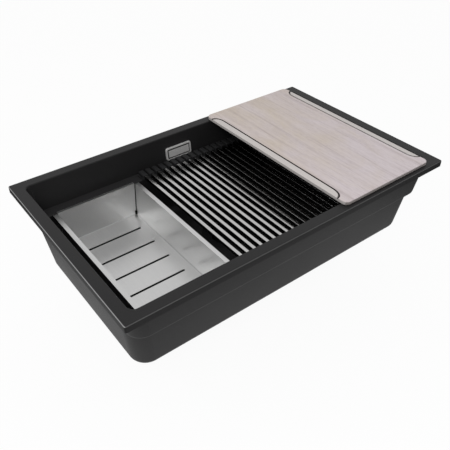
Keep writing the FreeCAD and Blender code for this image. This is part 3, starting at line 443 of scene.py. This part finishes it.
def in_grip_outline(shader, where, grow):
    """One inside a finger grip's outline, grown by a margin, and nought outside it."""
    from_middle = shader.absolute(shader.minus(where["X"], BOARD_CENTRE_X))
    across = shader.minus(from_middle, BOARD_HALF_WIDTH)
    past = shader.larger(shader.minus(shader.absolute(where["Y"]), GRIP_STRAIGHT))
    share_x = shader.math("DIVIDE", across, GRIP_WIDTH + grow)
    share_y = shader.math("DIVIDE", past, GRIP_OVAL + grow)
    reach = shader.node("CombineXYZ", {"X": share_x, "Y": share_y}).outputs["Vector"]
    length = shader.node("VectorMath", {0: reach}, operation="LENGTH").outputs["Value"]
    return shader.below(length, 1.0)


def wood_top(shader, where, fibre, figure):
    """The top's wood: lilac and tan patches under streaks, fibres and a few ring lines."""
    streak = shader.noise(**STREAK)
    patch = shader.noise(**PATCH)
    wave = {"Vector": shader.place(RING_STRETCH), **RING_WAVE}
    rings = shader.node("TexWave", wave, bands_direction="X").outputs["Fac"]
    ring = shader.times(shader.remap(rings, RING_LINE), shader.spread(figure, *RING_SHADE))
    tan = shader.plus(patch, shader.times(shader.minus(where["Y"], TAN_FROM), TAN_DRIFT))
    ground = shader.mix(shader.spread(tan, 0.0, 1.0), WOOD_LILAC, WOOD_BEIGE)
    shade = shader.plus(shader.spread(streak, *STREAK_SHADE), shader.spread(figure, *FIGURE_SHADE))
    shade = shader.plus(shader.plus(shade, shader.spread(fibre, *FIBRE_SHADE)), ring)
    return shader.mix(shader.larger(shade), ground, WOOD_GRAIN)


def board_wood():
    """Wood with grey edges, painted shade on its ends and underside, and pale finger grips with painted
    shade in the grooves round them.
    """
    shader = Shader("board_wood")
    where = shader.where()
    facing = shader.facing()
    fibre = shader.noise(**FIBRE)
    figure = shader.noise(**FIGURE)
    edge = shader.remap(shader.absolute(facing["Z"]), WOOD_EDGE_UPRIGHT, WOOD_EDGE_SHARE)
    # Painted shade: the faces at the board's front and back ends are darker than its long sides.
    end = shader.above(shader.absolute(facing["Y"]), WOOD_END_FACING)
    wood = shader.mix(edge, wood_top(shader, where, fibre, figure), shader.mix(end, WOOD_EDGE, WOOD_END_SHADE))
    # Painted shade: the board's underside is a dark brown.
    wood = shader.mix(shader.below(facing["Z"], WOOD_UNDER_FACING), wood, WOOD_UNDER_SHADE)
    inside = in_grip_outline(shader, where, 0.0)
    # Painted shade: the grooves, and a margin just past them, are dark brown.
    ring = shader.minus(in_grip_outline(shader, where, GROOVE_WIDTH + GROOVE_SHADE_MARGIN), inside)
    groove_shade = shader.times(ring, shader.above(where["Z"], BOARD_HIGH[2] - GROOVE_DEPTH - GROOVE_SHADE_MARGIN))
    grip = shader.mix(shader.spread(fibre, *GRIP_FIBRE), GRIP_PALE, WOOD_GRAIN)
    in_grip = shader.times(inside, shader.above(facing["Z"], GRIP_UPRIGHT))
    colour = shader.mix(in_grip, shader.mix(groove_shade, wood, GROOVE_SHADE_BROWN), grip)
    shader.bump(fibre, FIBRE_DEPTH)
    return shader.finish(colour, shader.spread(figure, *WOOD_ROUGH), Specular_IOR_Level=WOOD_SPECULAR)


def dress(material, *names):
    """Gives the named solids one material."""
    for name in names:
        slots = nodes[name].data.materials
        slots.clear()
        slots.append(material)


def dress_nodes():
    """Gives every solid a procedural material."""
    tubes = [name for name in nodes if name.startswith("rack_tube")]
    silicone = moulded("silicone", SILICONE_DARK, SILICONE_PALE, grain_size=0.8 * MM,
                       cloud_size=50 * MM, rough=0.62, grain_depth=0.05 * MM, Specular_IOR_Level=0.3)
    rubber = moulded("seal_rubber", RUBBER_DARK, RUBBER_PALE, grain_size=0.7 * MM,
                     cloud_size=40 * MM, rough=0.68, grain_depth=0.05 * MM)
    fitting = moulded("fitting_plastic", FITTING_DARK, FITTING_PALE, grain_size=0.9 * MM,
                      cloud_size=80 * MM, rough=0.45, grain_depth=0.04 * MM)
    nut = moulded("nut_plastic", NUT_DARK, NUT_PALE, grain_size=0.9 * MM,
                  cloud_size=50 * MM, rough=0.5, grain_depth=0.05 * MM)
    # Painted shade: the waste's dish, basket and knob are near black steel, which stands in for the shade
    # at the bowl's bottom.
    waste_shade_steel = brushed("coated_steel", WASTE_SHADE_DARK, WASTE_SHADE_PALE, WASTE_STEEL_LINES, WASTE_STEEL_ROUGH)
    fastener = brushed("fastener_steel", TUBE_DARK, TUBE_PALE, FASTENER_LINES, FASTENER_ROUGH)
    dress(composite_stone(), "basin")
    dress(sheet_steel(), "colander")
    dress(tube_steel(), *tubes)
    dress(overflow_steel("overflow_frame", FRAME_SHADE_BAND), "overflow_frame")
    dress(overflow_steel("overflow_cover", COVER_SHADE_BAND), "overflow_cover")
    dress(waste_shade_steel, "waste_dish", "basket_cup", "basket_knob")
    dress(fastener, "waste_screw", "overflow_outlet_screws")
    dress(silicone, "rack_strip_front", "rack_strip_back")
    dress(rubber, "overflow_gasket", "overflow_outlet_gasket", "overflow_pipe_seals")
    dress(rubber, "waste_upper_seal", "waste_lower_seal", "basket_plug")
    dress(fitting, "overflow_outlet", "overflow_pipe")
    dress(waste_plastic(), "waste_body")
    dress(nut, "overflow_pipe_nuts")
    dress(board_wood(), "cutting_board")


# Camera: solved from the photograph's rim, square frame
CAMERA_PLACE = (-0.6651, -0.8408, RIM_TOP + 0.6937)
CAMERA_TARGET = (-0.12824, -0.14069, RIM_TOP)
CAMERA_LENS = 45.27
CAMERA_SENSOR = 36

# Lamps: a key from the front left, and a small one behind it that draws the rim's left edge
LAMP_TARGET = (0, 0, 0)
KEY_PLACE = (-1.1, -1.4, 1.4)
KEY_SIZE = 1.2
KEY_POWER = 21
EDGE_PLACE = (-1.9, 1.3, 1.7)
EDGE_SIZE = 0.5
EDGE_POWER = 6

# Sky: brightens along this direction
SKY_SLOPE = (0.4, 0.65, 0.6)
SKY_RANGE = (-1.0, 1.0)
SKY_LEVEL = (0.05, 0.9)

# Floor: its glow in reflections fades with distance from the part
FLOOR_HALF = 8.0
FLOOR_GREY = (0.88, 0.88, 0.88, 1)
FLOOR_ROUGH = 0.9
FLOOR_WHITE = 0.94
GLOW_REACH = 0.38
GLOW_LEVEL = (0.95, 0.12)
WHITE = (1, 1, 1, 1)


def add_aimed(name, data, place, target):
    """Adds a camera or a lamp at a place, turned to a target."""
    aimed = bpy.data.objects.new(name, data)
    bpy.context.scene.collection.objects.link(aimed)
    aimed.location = place
    aimed.rotation_euler = (Vector(target) - Vector(place)).to_track_quat("-Z", "Y").to_euler()
    return aimed


def add_camera():
    data = bpy.data.cameras.new("camera")
    data.lens = CAMERA_LENS
    data.sensor_width = CAMERA_SENSOR
    bpy.context.scene.camera = add_aimed("camera", data, CAMERA_PLACE, CAMERA_TARGET)


def add_lamp(name, place, size, power):
    """Adds a square lamp, turned to the part."""
    data = bpy.data.lights.new(name, "AREA")
    data.size = size
    data.energy = power
    add_aimed(name, data, place, LAMP_TARGET)


def floor_white():
    """White where the camera sees it, with a faint shadow, and a glow that fades in reflections."""
    shader = Shader("floor_white")
    shader.finish(FLOOR_GREY, FLOOR_ROUGH)
    where = shader.where()
    squares = []
    for key, edge in zip("XY", cad_box[1]):
        past = shader.larger(shader.minus(shader.absolute(where[key]), edge))
        squares.append(shader.times(past, past))
    glow = shader.remap(shader.math("SQRT", shader.plus(*squares)), (0.0, GLOW_REACH), GLOW_LEVEL)
    path = shader.node("LightPath").outputs
    seen = shader.larger(path["Is Camera Ray"], path["Is Glossy Ray"])
    seen = shader.larger(seen, path["Is Transmission Ray"])
    strength = shader.larger(glow, path["Is Camera Ray"])
    white = shader.node("Emission", {"Color": WHITE, "Strength": strength}).outputs["Emission"]
    surfaces = {0: shader.times(seen, FLOOR_WHITE), 1: shader.surface.outputs["BSDF"], 2: white}
    shown = shader.node("MixShader", surfaces).outputs["Shader"]
    shader.feed(shader.tree.nodes["Material Output"], "Surface", shown)
    return shader.material


def add_floor():
    """A plain white floor under the part."""
    level = cad_box[0][2]
    signs = ((-1, -1), (1, -1), (1, 1), (-1, 1))
    corners = [(x * FLOOR_HALF, y * FLOOR_HALF, level) for x, y in signs]
    mesh = bpy.data.meshes.new("floor")
    mesh.from_pydata(corners, [], [(0, 1, 2, 3)])
    mesh.materials.append(floor_white())
    floor = bpy.data.objects.new("floor", mesh)
    bpy.context.scene.collection.objects.link(floor)


def add_sky():
    """A pale studio sky, brighter behind and overhead than in front, white where the camera sees it."""
    world = bpy.data.worlds.new("studio")
    bpy.context.scene.world = world
    world.use_nodes = True
    sky = NodeTree(world.node_tree)
    direction = sky.node("TexCoord").outputs["Generated"]
    slope = sky.node("VectorMath", {0: direction, 1: SKY_SLOPE}, operation="DOT_PRODUCT").outputs["Value"]
    level = sky.remap(slope, SKY_RANGE, SKY_LEVEL)
    seen = sky.node("LightPath").outputs["Is Camera Ray"]
    background = sky.tree.nodes["Background"]
    sky.feed(background, "Color", WHITE)
    sky.feed(background, "Strength", sky.larger(level, seen))


dress_nodes()
add_camera()
add_floor()
add_sky()
add_lamp("key", KEY_PLACE, KEY_SIZE, KEY_POWER)
add_lamp("edge", EDGE_PLACE, EDGE_SIZE, EDGE_POWER)
bpy.context.scene.view_settings.view_transform = "Standard"
